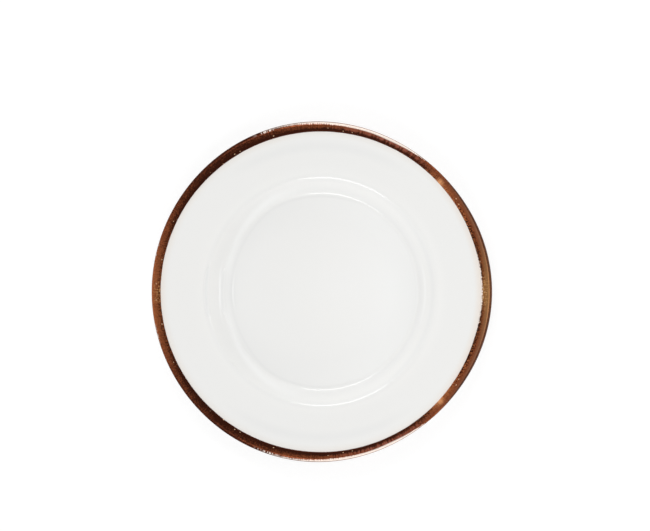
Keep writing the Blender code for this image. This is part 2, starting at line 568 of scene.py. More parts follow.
@dataclass(frozen=True)
class CopperLustre(Finish):
    """Fired copper lustre laid on by hand, alike on both sides of the X axis.

    It was brushed across the band, so it is finely streaked that way. Its colour round and across the band is
    painted reflection and highlight: golden at +X, dark round 126 degrees, darker along the face edge, with a
    painted glint and glow, and a painted highlight on top of the lip between about 45 and 115 degrees, drawn
    as the lustre rubbed through to the white glaze.
    """

    inner_edge: float
    outer_edge: float
    lip_height: float
    name: str = "copper_lustre"
    deep: Colour = (0.050, 0.013, 0.007)
    copper: Colour = (0.320, 0.088, 0.034)
    ember: Colour = (0.560, 0.190, 0.068)
    gold: Colour = (0.445, 0.222, 0.075)
    umber: Colour = (0.290, 0.138, 0.076)
    rose: Colour = (0.450, 0.155, 0.120)
    glint: Colour = (0.700, 0.320, 0.140)
    straw: Colour = (0.980, 0.590, 0.230)
    cream: Colour = (0.980, 0.640, 0.390)
    # the white glaze where the lustre is worn through, and the painted highlight on top of the lip
    bare_and_highlit: Colour = (0.850, 0.745, 0.670)
    sheen: Colour = (0.50, 0.36, 0.26)
    roughness: float = 0.28
    roughness_spread: float = 0.18
    wear_and_highlight_gloss: float = 0.15
    glint_dulling: float = 0.8
    dark_edge_dulling: float = 0.6
    grit_grain: float = 0.0006
    grit_depth: float = 0.00003
    grit_share: float = 0.4
    # a painted dark reflection just outside the lip
    dark_edge_height: Ease = Ease(0.00285, 0.00255)
    dark_edge_lip: Ease = Ease(0.66, 0.78)
    dark_edge_even: float = 0.15
    dark_edge_right: Ease = Ease(49.324, 35.0, 0.72)
    # a painted dark reflection round 126 degrees
    dark_reflection: Swell = Swell(126.0, 54.0, 0.85)
    # painted shade along the face edge of the band, partly lustre pooled thicker there
    pooling_and_shade_even: float = 0.66
    pooling_and_shade: Swell = Swell(79.0, 42.0, 1.05)
    pooling_and_shade_peak: Swell = Swell(19.0, 16.0, 0.45)
    pooling_and_shade_gap: Swell = Swell(36.3434, 15.2, 0.60)
    pooling_and_shade_part: Patch = Patch(Ease(2.0054, 4.8701), Ease(0.55, 0.06))
    beaded: Patch = Patch(Swell(68.0, 34.0, 0.7), Ease(0.85, 0.40))
    # painted shade on the outer part round 53 degrees
    shaded_patch: Patch = Patch(Swell(53.0, 9.0, 0.30), Ease(0.20, 0.55))
    line_share: float = 0.35
    patch_share: float = 0.45
    patch_grain: float = 0.016
    mottle_share: float = 0.45
    low_side: Ease = Ease(0.55, 0.10)
    low_mottle: float = 0.50
    darkness_step: Ease = Ease(-0.25, 1.05)
    # a painted highlight along the crown of the band
    rose_row: Patch = Patch(Swell(66.0, 26.0), Swell(0.46, 0.26))
    rose_brush: Brush = Brush(0.10, beads=0.55)
    # a painted glow of light round the glint at 42.6 degrees
    glow: Patch = Patch(Swell(41.5, 9.5), Ease(0.60, 0.15))
    glow_brush: Brush = Brush(0.10, lines=0.78, mottle=0.24)
    # a painted lighter reflection towards -X
    far_side: Ease = Ease(150.0, 180.0)
    far_even: float = 0.53
    far_low: float = 0.27
    far_brush: Brush = Brush(0.35, lines=0.30, mottle=0.35)
    grains: Patch = Patch(Swell(27.0, 21.0, 0.92), Ease(0.55, 0.10))
    grain_step: Ease = Ease(0.55, 0.95)
    # a painted paler reflection on the outer half at +X
    outer_reflection: Patch = Patch(Ease(52.0, 20.0, 0.8), Ease(0.40, 0.72))
    # a painted golden reflection at +X
    painted_light: Ease = Ease(22.0, 0.0)
    painted_light_brush: Brush = Brush(0.45, lines=0.28)
    painted_light_gap: Patch = Patch(Ease(2.2918, 4.8701, 0.9), Ease(0.58, 0.20))
    right_tip: Ease = Ease(8.8, 0.0, 0.62)
    left_tip: Ease = Ease(174.2704, 180.0, 0.496)
    glitter_brush: Brush = Brush(0.0, lines=0.3, mottle=0.7)
    glitter_step: Ease = Ease(0.55, 0.85)
    glitter_side: Ease = Ease(0.85, 0.45)
    # a painted glint at 42.6 degrees on the face half of the band
    glint_spots: Patch = Patch(Swell(42.6, 2.1), Ease(0.68, 0.18))
    glint_brush: Brush = Brush(0.65, lines=0.35)
    # a painted highlight on top of the lip, drawn as the lustre rubbed through to the white glaze
    lip_highlight_from: Ease = Ease(44.5, 58.0)
    lip_highlight_to: Ease = Ease(114.5, 70.5)
    lip_highlight_depth: float = 0.0028
    lip_highlight_deeper: Swell = Swell(65.0, 9.0, 0.0006)
    lip_highlight_fringe: float = 0.0060
    fringe_step: Ease = Ease(0.28, 0.72)
    lip_highlight_edge: Ease = Ease(-0.0004, 0.0007)
    lip_highlight_start: Ease = Ease(0.0, 0.12)
    wear_and_highlight_height: Ease = Ease(0.0015, 0.0018)
    dashed: Patch = Patch(Swell(108.5, 6.0), Ease(0.79, 0.91))
    chipped: Patch = Patch(Swell(166.0, 5.5), Ease(0.79, 0.91))
    dash_step: Ease = Ease(0.50, 0.85)
    fade: Swell = Swell(0.0, 23.0, 0.0016)
    fade_brush: Brush = Brush(0.35, mottle=0.65)
    fade_edge: Ease = Ease(0.0002, -0.0003)
    fleck_grain: float = 0.0014
    fleck_size: Ease = Ease(0.00043, 0.0001935)
    fleck_stretch: float = 0.55
    fleck_side: Ease = Ease(0.55, 0.20)
    fleck_height: Ease = Ease(0.0006, 0.0014)
    fleck_chance: float = 0.05
    fleck_limit: float = 0.99
    speckled: Swell = Swell(112.0, 18.0, 0.10)
    right_cluster: Ease = Ease(11.0, 0.0)
    left_cluster: Ease = Ease(174.2704, 180.0)
    cluster_chance: float = 0.50
    cluster_growth: float = 0.7

    def draw(self, spot: Surface) -> None:
        """Adds the lustre's nodes.

        Args:
            spot: places on the plate.
        """
        sheet = spot.sheet
        band = BandPlace(spot, self.inner_edge, self.outer_edge)
        # painted dark reflection outside the lip
        dark_edge = self.dark_edge_mask(band)
        # painted glint
        painted_glint = self.glint_spots.of(band) * self.glint_brush.of(band)
        # worn stretches and the painted highlight on top of the lip
        worn_and_highlit = self.wear_and_highlight_mask(band)
        colour = sheet.mix(painted_glint, self.tone(band, dark_edge), self.glint)
        colour = sheet.mix(self.flecks(band), colour, self.cream)
        colour = sheet.mix(worn_and_highlit, colour, self.bare_and_highlit)
        grit = sheet.noise(spot.place, self.grit_grain)
        relief = sheet.bump(grit * self.grit_share + band.streak * (1.0 - self.grit_share), self.grit_depth)
        metal = (1.0 - painted_glint * self.glint_dulling) * (1.0 - dark_edge * self.dark_edge_dulling)
        shader = {
            "Base Color": colour,
            "Roughness": self.roughness + grit * self.roughness_spread - worn_and_highlit * self.wear_and_highlight_gloss,
            "Metallic": (1.0 - worn_and_highlit) * metal,
            "Normal": relief,
            "Specular Tint": sheet.shade(self.sheen),
        }
        sheet.end_in("ShaderNodeBsdfPrincipled", shader)

    def dark_edge_mask(self, band: BandPlace) -> Signal:
        """A mask of a painted dark reflection: a dark line just outside the lip, strongest on the golden
        side.
        """
        line = self.dark_edge_height.of(band.spot.height - self.lip_height) * self.dark_edge_lip.of(band.across)
        return line * (self.dark_edge_even + self.dark_edge_right.of(band.turn))

    def thickness(self, band: BandPlace) -> Signal:
        """How dark the lustre is drawn, apart from the line outside the lip: painted shade, streaks and
        mottling.

        Args:
            band: places on the band.

        Returns:
            The darkness, about 0 where it is pale and 1 where it is dark.
        """
        turn = band.turn
        # painted dark reflection and shade, with uneven streaks and mottling
        pooling_and_shade = self.pooling_and_shade_even + self.pooling_and_shade_peak.of(turn) + self.pooling_and_shade.of(turn) - self.pooling_and_shade_gap.of(turn)
        patch = band.spot.sheet.noise(band.spot.place, self.patch_grain, detail=3.0, lean=0.55)
        mottled = self.mottle_share + self.low_side.of(band.across) * self.low_mottle
        uneven = (0.5 - band.lines) * self.line_share + (0.5 - patch) * self.patch_share
        uneven = uneven + (0.5 - band.mottle) * mottled + self.beaded.of(band) * (0.5 - band.beads)
        return self.dark_reflection.of(turn) + self.pooling_and_shade_part.of(band) * pooling_and_shade + self.shaded_patch.of(band) + uneven

    def tone(self, band: BandPlace, dark_edge: Signal) -> Signal:
        """Colour of the lustre by its drawn darkness, with painted reflections, highlights and a glow over
        it.

        Args:
            band: places on the band.
            dark_edge: a mask of the painted dark reflection outside the lip.

        Returns:
            The colour.
        """
        sheet, turn = band.spot.sheet, band.turn
        depth = self.darkness_step.of(self.thickness(band) + dark_edge)
        colour = sheet.mix(depth, self.copper, self.deep)
        # painted highlight along the crown
        colour = sheet.mix(self.rose_row.of(band) * self.rose_brush.of(band), colour, self.rose)
        # painted lighter reflection towards -X and a painted glow round the glint
        far = self.far_side.of(turn) * (self.far_even - self.low_side.of(band.across) * self.far_low)
        ember = self.glow.of(band) * self.glow_brush.of(band) + far * self.far_brush.of(band)
        grains = self.grains.of(band) * self.grain_step.of(band.mottle)
        colour = sheet.mix(sheet.math("MAXIMUM", ember, grains), colour, self.ember)
        colour = sheet.mix(self.outer_reflection.of(band) * (1.0 - dark_edge), colour, self.umber)
        # painted golden reflection at +X
        painted_light = self.painted_light.of(turn) * self.painted_light_brush.of(band) * (1.0 - self.painted_light_gap.of(band))
        colour = sheet.mix(painted_light * (1.0 - dark_edge), colour, self.gold)
        tips = self.right_tip.of(turn) + self.left_tip.of(turn)
        glitter = self.glitter_step.of(self.glitter_brush.of(band)) * self.glitter_side.of(band.across)
        return sheet.mix(tips * glitter, colour, self.straw)

    def wear_and_highlight_mask(self, band: BandPlace) -> Signal:
        """Where the lustre is drawn rubbed through to the white glaze, which on top of the lip is a painted
        highlight.

        That is on top of the lip, a painted highlight ragged towards the ends, with worn dashes, and on the
        face edge
            of the golden side.

        Args:
            band: places on the band.

        Returns:
            A mask of the worn stretches and of the painted highlight.
        """
        sheet, radius, turn = band.spot.sheet, band.spot.radius, band.turn
        # the stretch of the painted highlight on top of the lip
        rubbed = self.lip_highlight_from.of(turn) * self.lip_highlight_to.of(turn)
        fringe = rubbed * (1.0 - rubbed) * (self.fringe_step.of(band.streak) - 0.5) * self.lip_highlight_fringe
        depth = rubbed * self.lip_highlight_depth + self.lip_highlight_deeper.of(turn) + fringe
        top = self.lip_highlight_edge.of(radius - (self.outer_edge - depth)) * self.lip_highlight_start.of(rubbed)
        dashes = (self.dashed.of(band) + self.chipped.of(band)) * self.dash_step.of(band.beads)
        top = sheet.math("MAXIMUM", top, dashes) * self.wear_and_highlight_height.of(band.spot.height - self.lip_height)
        faded = self.fade.of(turn) * self.fade_brush.of(band)
        return sheet.math("MAXIMUM", top, self.fade_edge.of(radius - (self.inner_edge + faded)))

    def flecks(self, band: BandPlace) -> Signal:
        """Small pale flecks by the face edge, thickest at both ends of the X axis and in a speckled stretch.

        Args:
            band: places on the band.

        Returns:
            A mask of the flecks.
        """
        spot, turn, sheet = band.spot, band.turn, band.spot.sheet
        along = turn * (math.radians(self.fleck_stretch) * self.outer_edge)
        unrolled = sheet.node("ShaderNodeCombineXYZ", {}, {"X": along, "Y": spot.radius, "Z": spot.height})
        far, chance = sheet.dots(unrolled, self.fleck_grain)
        clusters = self.right_cluster.of(turn) + self.left_cluster.of(turn)
        likely = self.fleck_chance + self.speckled.of(turn) + clusters * self.cluster_chance
        limit = self.fleck_limit - self.fleck_side.of(band.across) * likely
        found = sheet.math("GREATER_THAN", chance, limit)
        core = self.fleck_size.of(far * self.fleck_grain / (1.0 + clusters * self.cluster_growth))
        return core * found * self.fleck_height.of(spot.height - self.lip_height)


@dataclass(frozen=True)
class PaleFloor(Finish):
    """White table top, which keeps a soft shadow round the plate and is plain white further out."""

    name: str = "pale_floor"
    white: Colour = (0.93, 0.93, 0.93)
    clouded: Colour = (0.91605, 0.91605, 0.91605)
    cloud_grain: float = 0.12
    dim: Colour = (0.28, 0.28, 0.28)
    glow: float = 0.76
    beyond: Ease = Ease(0.25, 0.625)

    def draw(self, spot: Surface) -> None:
        """Adds the floor's nodes. Where it is seen, part of its light is its own.

        Args:
            spot: places on the floor.
        """
        sheet = spot.sheet
        colour = sheet.mix(sheet.noise(spot.place, self.cloud_grain), self.white, self.clouded)
        lit = sheet.node("ShaderNodeBsdfDiffuse", {}, {"Color": colour})
        dim = sheet.node("ShaderNodeBsdfDiffuse", {}, {"Color": sheet.shade(self.dim)})
        own = sheet.node("ShaderNodeEmission", {}, {"Strength": self.glow})
        near = sheet.node("ShaderNodeAddShader", {}, {0: dim, 1: own})
        far = sheet.node("ShaderNodeEmission", {}, {"Strength": 1.0})
        shown = sheet.node("ShaderNodeMixShader", {}, {0: self.beyond.of(spot.radius), 1: near, 2: far})
        sheet.end_in("ShaderNodeMixShader", {0: sheet.seen_rays(), 1: lit, 2: shown})


# Sections


class Corner(NamedTuple):
    """A meeting of two straight runs of a section, rounded by an arc of so many facets."""

    r: float
    z: float
    fillet: float = 0.0
    facets: int = 1


def heading(start: Corner, end: Corner) -> Point:
    """Unit vector from one corner to the next."""
    length = math.dist(start[:2], end[:2])
    return (end.r - start.r) / length, (end.z - start.z) / length


def between(start: Point, end: Point, share: float) -> Point:
    """The point that lies a share of the way from one point to another."""
    return start[0] + (end[0] - start[0]) * share, start[1] + (end[1] - start[1]) * share


def clamped(value: float) -> float:
    """A number kept from 0 to 1."""
    return min(max(value, 0.0), 1.0)


def inset(outline: list[Corner], depths: list[float]) -> list[Corner]:
    """Moves each straight run of an outline into the plate, and keeps its arcs concentric.

    Args:
        outline: corners from the axis out over the face and back in, so the plate is on their right.
        depths: how far each run moves. Below zero it moves out.

    Returns:
        The moved corners.
    """
    runs = [heading(start, end) for start, end in zip(outline, outline[1:])]
    moved = []
    for index, old in enumerate(outline):
        before = max(index - 1, 0)
        after = min(index, len(runs) - 1)
        (r1, z1), (r2, z2) = runs[before], runs[after]
        turn = r1 * z2 - z1 * r2
        along = r1 * r2 + z1 * z2
        slide = (depths[after] - depths[before] * along) / turn if before != after else 0.0
        r = old.r + depths[before] * z1 + slide * r1
        z = old.z - depths[before] * r1 + slide * z1
        shared = min(depths[before], depths[after])
        fillet = max(old.fillet + shared * math.copysign(1.0, turn), 0.0) if old.fillet else 0.0
        moved.append(old._replace(r=r, z=z, fillet=fillet))
    return moved


def even_inset(outline: list[Corner], depth: float) -> list[Corner]:
    """Moves all of an outline into the plate by one depth."""
    return inset(outline, [depth] * (len(outline) - 1))


def rounded(outline: list[Corner], spacing: float, share: float = 1.0) -> list[Point]:
    """Points along an outline.

    Args:
        outline: its corners.
        spacing: the longest step along a straight run.
        share: share of the facets that each arc keeps.

    Returns:
        The points, with an arc in place of each corner that has a fillet.
    """
    points = [outline[0][:2]]
    for start, middle, end in zip(outline, outline[1:], outline[2:]):
        r1, z1 = heading(start, middle)
        r2, z2 = heading(middle, end)
        turn = math.atan2(r1 * z2 - z1 * r2, r1 * r2 + z1 * z2)
        before = math.dist(start[:2], middle[:2]) / (1 if start is outline[0] else 2)
        after = math.dist(middle[:2], end[:2]) / (1 if end is outline[-1] else 2)
        tangent = min(middle.fillet * math.tan(abs(turn) / 2), before, after)
        side = math.copysign(tangent / math.tan(abs(turn) / 2), turn)
        centre_r = middle.r - tangent * r1 - side * z1
        centre_z = middle.z - tangent * z1 + side * r1
        facets = max(round(middle.facets * share), 1)
        for step in range(facets + 1):
            angle = math.atan2(z1, r1) + turn * step / facets
            points.append((centre_r + side * math.sin(angle), centre_z - side * math.cos(angle)))
    points.append(outline[-1][:2])
    filled = [points[0]]
    for last, point in zip(points, points[1:]):
        steps = math.ceil(math.dist(last, point) / spacing - STEP_SLACK)
        filled += [between(last, point, step / steps) for step in range(1, steps + 1)]
    return filled


def height_on(outline: list[Corner], r: float) -> float:
    """Height of the straight runs of an outline at a radius.

    Args:
        outline: its corners.
        r: the radius.

    Returns:
        The height on the first run that has this radius.
    """
    for start, end in zip(outline, outline[1:]):
        if min(start.r, end.r) <= r <= max(start.r, end.r):
            return start.z + (end.z - start.z) * (r - start.r) / (end.r - start.r)
    raise ValueError("the radius lies off the outline")


@dataclass
class PlateSection:
    """The section of the glazed plate, which every piece follows."""

    radius: float = 0.135
    height: float = 0.0232
    coats: float = 0.0006
    sheet: float = 0.0046
    well_radius: float = 0.0783
    well_depth: float = 0.0083
    wall_run: float = 0.0130
    floor_fillet: float = 0.006
    floor_facets: int = 22
    shoulder_fillet: float = 0.007
    shoulder_facets: int = 20
    lip_facets: int = 14
    foot_radius: float = 0.077
    foot_width: float = 0.0056
    foot_facets: int = 8
    recess: float = 0.0028
    foot_fillet: float = 0.001
    foot_edge: float = 0.0007
    rim_sag: float = 0.0003
    sag_from_shoulder: float = 0.004
    sag_from_lip: float = 0.008
    lobes: int = 3
    lobe_reach: float = 0.0085
    lobe_swell: float = 0.0008
    next_swell: float = 0.00045
    spacing: float = 0.002
    face: list[Corner] = field(init=False)
    back: list[Corner] = field(init=False)
    foot: list[Corner] = field(init=False)

    def __post_init__(self) -> None:
        """Works out the corners of the face, the back and the foot ring."""
        self.face = self.face_corners()
        self.back = even_inset(self.face[:4], self.sheet)[::-1]
        outer = self.foot_radius + self.foot_width / 2
        inner = self.foot_radius - self.foot_width / 2
        self.foot = [
            Corner(outer, height_on(self.back, outer), self.foot_fillet, self.foot_facets),
            Corner(outer, 0.0, self.foot_edge, self.foot_facets),
            Corner(inner, 0.0, self.foot_edge, self.foot_facets),
            Corner(inner, height_on(self.back, inner), self.foot_fillet, self.foot_facets),
        ]

    def lip_height(self) -> float:
        """Height of the middle of the lip's round."""
        return self.height - self.coats - self.sheet / 2

    def face_corners(self) -> list[Corner]:
        """Corners of the face, from the axis over the well and the wall to the two corners of the lip.

        Returns:
            The corners.
        """
        lip = self.sheet / 2
        lip_r = self.radius - self.coats - lip
        lip_z = self.lip_height()
        floor = self.recess + self.sheet
        shoulder_r = self.well_radius + self.wall_run
        shoulder_z = floor + self.well_depth
        run, rise = lip_r - shoulder_r, lip_z - shoulder_z
        slope = math.atan2(rise, run) + math.asin(lip / math.hypot(run, rise))
        out_r, out_z = lip * math.cos(slope), lip * math.sin(slope)
        return [
            Corner(0.0, floor),
            Corner(self.well_radius, floor, self.floor_fillet, self.floor_facets),
            Corner(shoulder_r, shoulder_z, self.shoulder_fillet, self.shoulder_facets),
            Corner(lip_r + out_r - out_z, lip_z + out_z + out_r, lip, self.lip_facets),
            Corner(lip_r + out_r + out_z, lip_z + out_z - out_r, lip, self.lip_facets),
        ]

    def lobe_sizes(self) -> dict[str, float]:
        """Inputs of the lathe that pull the lip out of round.

        Returns:
            Their values by name.
        """
        return {
            "Lobes": self.lobes,
            "Lobe Swell": self.lobe_swell,
            "Next Swell": self.next_swell,
            "Swell Start": self.radius - self.lobe_reach,
            "Swell End": self.radius,
        }

    def outside(self) -> list[Corner]:
        """Corners of the face and of the back as far as the foot ring."""
        return self.face + [bend for bend in self.back[1:] if bend.r > self.foot[0].r]

    def inside(self) -> list[Corner]:
        """Corners of the back inside the foot ring."""
        return [bend for bend in self.back if bend.r < self.foot[3].r]

    def settled(self, points: list[Point]) -> list[Point]:
        """Lets the rim sag a little between the shoulder and the lip, as a thrown plate does in the kiln.

        Args:
            points: points of a section.

        Returns:
            The points with those of the rim lowered.
        """
        start = self.well_radius + self.wall_run + self.sag_from_shoulder
        run = self.radius - self.sag_from_lip - start
        sags = [self.rim_sag * math.sin(math.pi * clamped((r - start) / run)) ** 2 for r, _ in points]
        return [(r, z - sag) for (r, z), sag in zip(points, sags)]


# Turning


class Lathe:
    """A Geometry Nodes tree that turns a row of section points about Z.

    Each point may have a waver vector, along which it moves to and fro as the section goes round. Points near
    the lip also move out and in with its lobes, because the kiln pulled it slightly out of round.
    """

    WAVER = "waver"
    MERGE = 0.000002
    INPUTS = {
        "Section": "NodeSocketGeometry",
        "Steps Around": "NodeSocketInt",
        "Waver": "NodeSocketFloat",
        "Lumps": "NodeSocketFloat",
        "Seed": "NodeSocketFloat",
        "Lobes": "NodeSocketInt",
        "Lobe Swell": "NodeSocketFloat",
        "Next Swell": "NodeSocketFloat",
        "Swell Start": "NodeSocketFloat",
        "Swell End": "NodeSocketFloat",
        "Material": "NodeSocketMaterial",
    }

    def __init__(self) -> None:
        """Builds the tree with its named inputs."""
        self.tree = bpy.data.node_groups.new("lathe", "GeometryNodeTree")
        self.keys: dict[str, str] = {}
        for name, kind in self.INPUTS.items():
            socket = self.tree.interface.new_socket(name, in_out="INPUT", socket_type=kind)
            self.keys[name] = socket.identifier
        self.tree.interface.new_socket("Piece", in_out="OUTPUT", socket_type="NodeSocketGeometry")
        self.draw()

    def draw(self) -> None:
        """Adds the nodes."""
        sheet = NodeSheet(self.tree)
        section = sheet.node("NodeGroupInput", {}, {}, "Section")
        mesh = {"component": "MESH"}
        count = sheet.node("GeometryNodeAttributeDomainSize", mesh, {0: section}, "Point Count")
        steps = section.beside("Steps Around")
        columns = steps + 1.0
        grid = sheet.node("GeometryNodeMeshGrid", {}, {"Vertices X": count, "Vertices Y": columns}, "Mesh")
        index = sheet.node("GeometryNodeInputIndex", {}, {})
        row = sheet.math("FLOOR", (index + 0.5) / columns)
        angle = (index - row * columns) / steps * math.tau
        place = self.sample(section, sheet.node("GeometryNodeInputPosition", {}, {}), row)
        kind = {"data_type": "FLOAT_VECTOR"}
        named = sheet.node("GeometryNodeInputNamedAttribute", kind, {"Name": self.WAVER})
        wavered = sheet.scaled(self.sample(section, named, row), self.swing(section, angle))
        outward = sheet.node("ShaderNodeCombineXYZ", {}, {"X": self.lobes(section, place, angle)})
        moved = sheet.vector_math("ADD", sheet.vector_math("ADD", place, wavered), outward)
        turn = {"Vector": moved, "Angle": angle}
        turned = sheet.node("ShaderNodeVectorRotate", {"rotation_type": "Z_AXIS"}, turn)
        skin = sheet.node("GeometryNodeSetPosition", {}, {"Geometry": grid, "Position": turned})
        closed = sheet.node("GeometryNodeMergeByDistance", {}, {"Geometry": skin, "Distance": self.MERGE})
        soft = sheet.node("GeometryNodeSetShadeSmooth", {}, {"Geometry": closed})
        real = sheet.node("GeometryNodeRealizeInstances", {}, {0: soft})
        finish = {"Geometry": real, "Material": section.beside("Material")}
        sheet.node("NodeGroupOutput", {}, {0: sheet.node("GeometryNodeSetMaterial", {}, finish)})

    @staticmethod
    def sample(section: Signal, value: Signal, row: Signal) -> Signal:
        """Reads a vector from one point of the section.

        Args:
            section: the section's points.
            value: the vector that is read.
            row: the point's number.

        Returns:
            The vector.
        """
        settings = {"data_type": "FLOAT_VECTOR", "domain": "POINT"}
        reading = {"Geometry": section, "Value": value, "Index": row}
        return section.sheet.node("GeometryNodeSampleIndex", settings, reading)

    @staticmethod
    def swing(section: Signal, angle: Signal) -> Signal:
        """How far the section swings to and fro.

        Args:
            section: the tree's inputs.
            angle: how far it has gone round.

        Returns:
            A length from minus Waver to Waver.
        """
        sheet, lumps = section.sheet, section.beside("Lumps")
        east, north = sheet.math("COSINE", angle) * lumps, sheet.math("SINE", angle) * lumps
        walk = sheet.node("ShaderNodeCombineXYZ", {}, {"X": east, "Y": north, "Z": section.beside("Seed")})
        return (sheet.noise(walk, grain=1.0, detail=3.0, lean=0.6) - 0.5) * 2.0 * section.beside("Waver")

    @staticmethod
    def lobes(section: Signal, place: Signal, angle: Signal) -> Signal:
        """How far the lobes of the lip move a point out.

        Args:
            section: the tree's inputs.
            place: the point's place in the section.
            angle: how far it has gone round.

        Returns:
            The length, which grows from Swell Start to Swell End.
        """
        sheet, start, count = section.sheet, section.beside("Swell Start"), section.beside("Lobes")
        radius = sheet.node("ShaderNodeSeparateXYZ", {}, {"Vector": place}, "X")
        beyond = (radius - start) / (section.beside("Swell End") - start)
        share = sheet.math("MINIMUM", sheet.math("MAXIMUM", beyond, 0.0), 1.0)
        main_lobes = sheet.math("COSINE", angle * count) * section.beside("Lobe Swell")
        next_lobes = sheet.math("COSINE", angle * (count + 1.0)) * section.beside("Next Swell")
        return share * share * (main_lobes + next_lobes)

    def turn(
        self, name: str, points: list[Point], wavers: list[Point], sizes: dict[str, Any]
    ) -> bpy.types.Object:
        """Turns a section into a piece.

        Args:
            name: the piece's name.
            points: the section, radius and height.
            wavers: how far each point swings, in radius and height.
            sizes: values of the tree's inputs by name.

        Returns:
            The piece, a plain mesh at the origin.
        """
        mesh = bpy.data.meshes.new(name + "_section")
        mesh.from_pydata([(r, 0.0, z) for r, z in points], [], [])
        layer = mesh.attributes.new(self.WAVER, "FLOAT_VECTOR", "POINT")
        for item, (r, z) in zip(layer.data, wavers):
            item.vector = (r, 0.0, z)
        helper = bpy.data.objects.new(name + "_helper", mesh)
        modifier = helper.modifiers.new("make", "NODES")
        modifier.node_group = self.tree
        for key, value in sizes.items():
            modifier[self.keys[key]] = value
        bpy.context.scene.collection.objects.link(helper)
        graph = bpy.context.evaluated_depsgraph_get()
        made = bpy.data.meshes.new_from_object(helper.evaluated_get(graph), depsgraph=graph)
        made.name = name
        helper.modifiers.remove(modifier)
        bpy.data.objects.remove(helper)
        return linked(name, made)


def linked(name: str, data: bpy.types.ID) -> bpy.types.Object:
    """A new object in the scene.

    Args:
        name: its name.
        data: its mesh, lamp or camera.

    Returns:
        The object.
    """
    made = bpy.data.objects.new(name, data)
    bpy.context.scene.collection.objects.link(made)
    return made


# Sub-assemblies


class Wander(NamedTuple):
    """How an edge goes to and fro round the plate: how far, in how many lumps, and by which seed."""

    reach: float = 0.0
    lumps: float = 0.0
    seed: float = 0.0


class TurnedPiece:
    """A piece that the lathe turns from one outline, and the node of the plate that it stands for."""

    NAME: str
    NODE: str
    SLOT: Slot
    section: PlateSection
    steps: int
    wander: Wander = Wander()

    def points(self) -> list[Point]:
        """Points of the piece's section."""
        raise NotImplementedError

    def swing(self, point: Point) -> Point:
        """Share of the wander that a point of the section follows, in radius and height."""
        return 0.0, 0.0

    def dress(self) -> bpy.types.Material:
        """The piece's finish."""
        raise NotImplementedError

    def build(self, lathe: Lathe) -> bpy.types.Object:
        """Turns and dresses the piece, and puts it in the place of its node.

        Args:
            lathe: the tree that turns it.

        Returns:
            The piece.
        """
        points = self.points()
        sizes = {
            "Steps Around": self.steps,
            "Waver": self.wander.reach,
            "Lumps": self.wander.lumps,
            "Seed": self.wander.seed,
            "Material": self.dress(),
            **self.section.lobe_sizes(),
        }
        piece = lathe.turn(self.NAME, points, [self.swing(point) for point in points], sizes)
        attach(piece, BODY)
        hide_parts(self.NODE)
        return piece


@dataclass
class ClayBody(TurnedPiece):
    """The fired clay, which shows only as the bare ring that the plate stands on."""

    NAME = "clay_body"
    NODE = "porcelain_body"
    SLOT = Slot.BISQUE
    section: PlateSection
    steps: int = 240
    under_glaze: float = 0.0005
    coarseness: float = 2.0
    facet_share: float = 0.6

    def points(self) -> list[Point]:
        """The whole section, set in under the glaze but not where it stands on the table.

        Returns:
            The points.
        """
        outline = self.section.outside() + self.section.foot + self.section.inside()
        depths = [self.under_glaze] * (len(outline) - 1)
        depths[outline.index(self.section.foot[1])] = 0.0
        spacing = self.section.spacing * self.coarseness
        return self.section.settled(rounded(inset(outline, depths), spacing, self.facet_share))

    def dress(self) -> bpy.types.Material:
        """Bare clay."""
        return BareClay().material()


@dataclass
class GlazeHem:
    """The rounded lower edge of a coat of glaze, which runs unevenly along the foot ring."""

    height: float = 0.0015
    reach: float = 0.001
    bead: float = 0.00035
    bead_facets: int = 6

    def rolled(self, outer: Point, inner: Point) -> list[Point]:
        """The bead that closes the hem.

        Args:
            outer: last point of the coat's outside.
            inner: last point of its inside.

        Returns:
            Points of a half round from the one to the other.
        """
        middle = (outer[0] + inner[0]) / 2
        half = (outer[0] - inner[0]) / 2
        turns = [math.pi * step / self.bead_facets for step in range(1, self.bead_facets)]
        return [(middle + half * math.cos(a), outer[1] - self.bead * math.sin(a)) for a in turns]


@dataclass
class GlazeCoat(TurnedPiece):
    """The glaze over the face, the lip and the back, with a soft uneven hem above the foot."""

    NAME = "face_and_back_glaze"
    NODE = "glaze_coat"
    SLOT = Slot.WHITE_GLAZE
    section: PlateSection
    hem: GlazeHem
    glaze: bpy.types.Material
    steps: int = 320
    wander: Wander = Wander(0.0003, 9.0, 3.0)
    thickness: float = 0.0004
    hidden_spacing: float = 3.0
    hidden_share: float = 0.3

    def coats(self, outline: list[Corner]) -> tuple[list[Point], list[Point]]:
        """Both sides of a coat.

        Args:
            outline: corners of its outside.

        Returns:
            Points of its outside, and of its hidden inside on the way back.
        """
        inside = even_inset(outline, self.thickness)
        hidden = rounded(inside, self.section.spacing * self.hidden_spacing, self.hidden_share)
        return rounded(outline, self.section.spacing), hidden[::-1]

    def hem_corner(self, foot: Corner) -> Corner:
        """The corner on the foot ring where the coat ends."""
        return foot._replace(z=self.hem.height, fillet=0.0)

    def points(self) -> list[Point]:
        """The coat from the middle of the face round the lip and down the outside of the foot ring.

        Returns:
            The points.
        """
        foot = self.section.foot
        outer, inner = self.coats(self.section.outside() + [foot[0], self.hem_corner(foot[1])])
        return self.section.settled(outer + self.hem.rolled(outer[-1], inner[0]) + inner)

    def swing(self, point: Point) -> Point:
        """Share of the hem's wander that a point follows."""
        return 0.0, clamped(1.0 - (point[1] - self.hem.height) / self.hem.reach)

    def dress(self) -> bpy.types.Material:
        """The white glaze."""
        return self.glaze


@dataclass
class BaseGlaze(GlazeCoat):
    """The disc of glaze inside the foot ring."""

    NAME = "base_glaze_disc"
    NODE = "base_glaze"
    steps: int = 240
    wander: Wander = Wander(0.0003, 7.0, 8.0)
    hidden_share: float = 0.5

    def points(self) -> list[Point]:
        """The disc from its hidden side round the hem to its outside.

        Returns:
            The points.
        """
        foot = self.section.foot
        outer, inner = self.coats([self.hem_corner(foot[2]), foot[3]] + self.section.inside())
        return inner + self.hem.rolled(inner[-1], outer[0]) + outer


